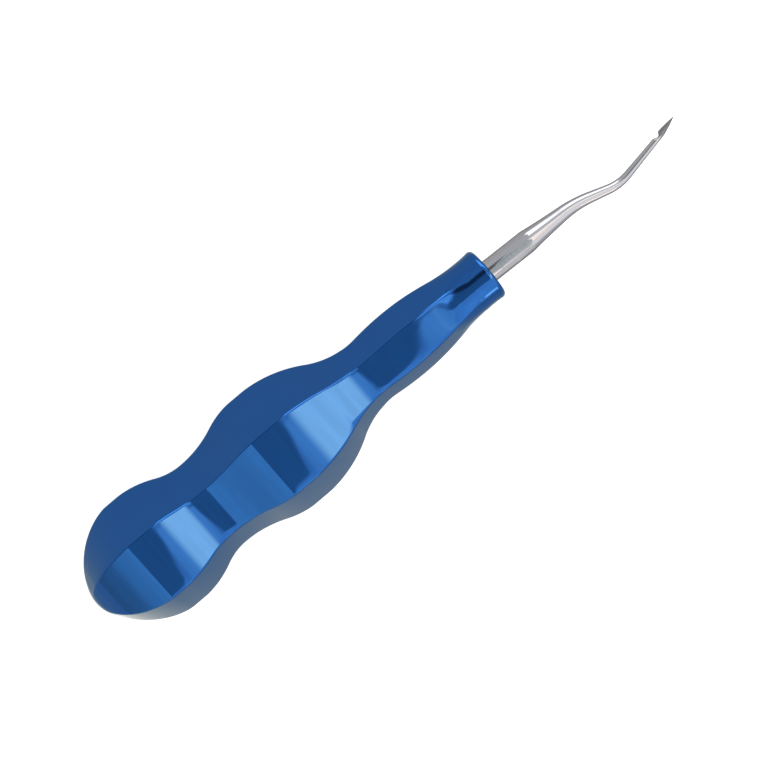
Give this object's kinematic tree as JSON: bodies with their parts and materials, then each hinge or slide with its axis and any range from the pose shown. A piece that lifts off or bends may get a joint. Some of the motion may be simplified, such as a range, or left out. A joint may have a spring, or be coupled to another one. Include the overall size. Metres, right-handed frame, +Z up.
{
  "type": "dental spade elevator",
  "caption": "Hand instrument for loosening tooth roots: a faceted, lobed metal handle with a bent steel shank that ends in a notched spade blade.",
  "frame": {"origin": "on the surface the instrument lies on, under the middle of its length", "axes": "+X along the handle axis towards the blade, +Z up, +Y towards the inner side of the bend nearest the blade"},
  "size_m": [0.1555, 0.028, 0.0245],
  "materials": {
    "blue_anodised_aluminium": "polished, deep blue anodised",
    "stainless_steel": "finely ground and polished"
  },
  "bodies": {
    "root": {"handle": "blue_anodised_aluminium", "working_end": "stainless_steel"}
  },
  "joints": []
}
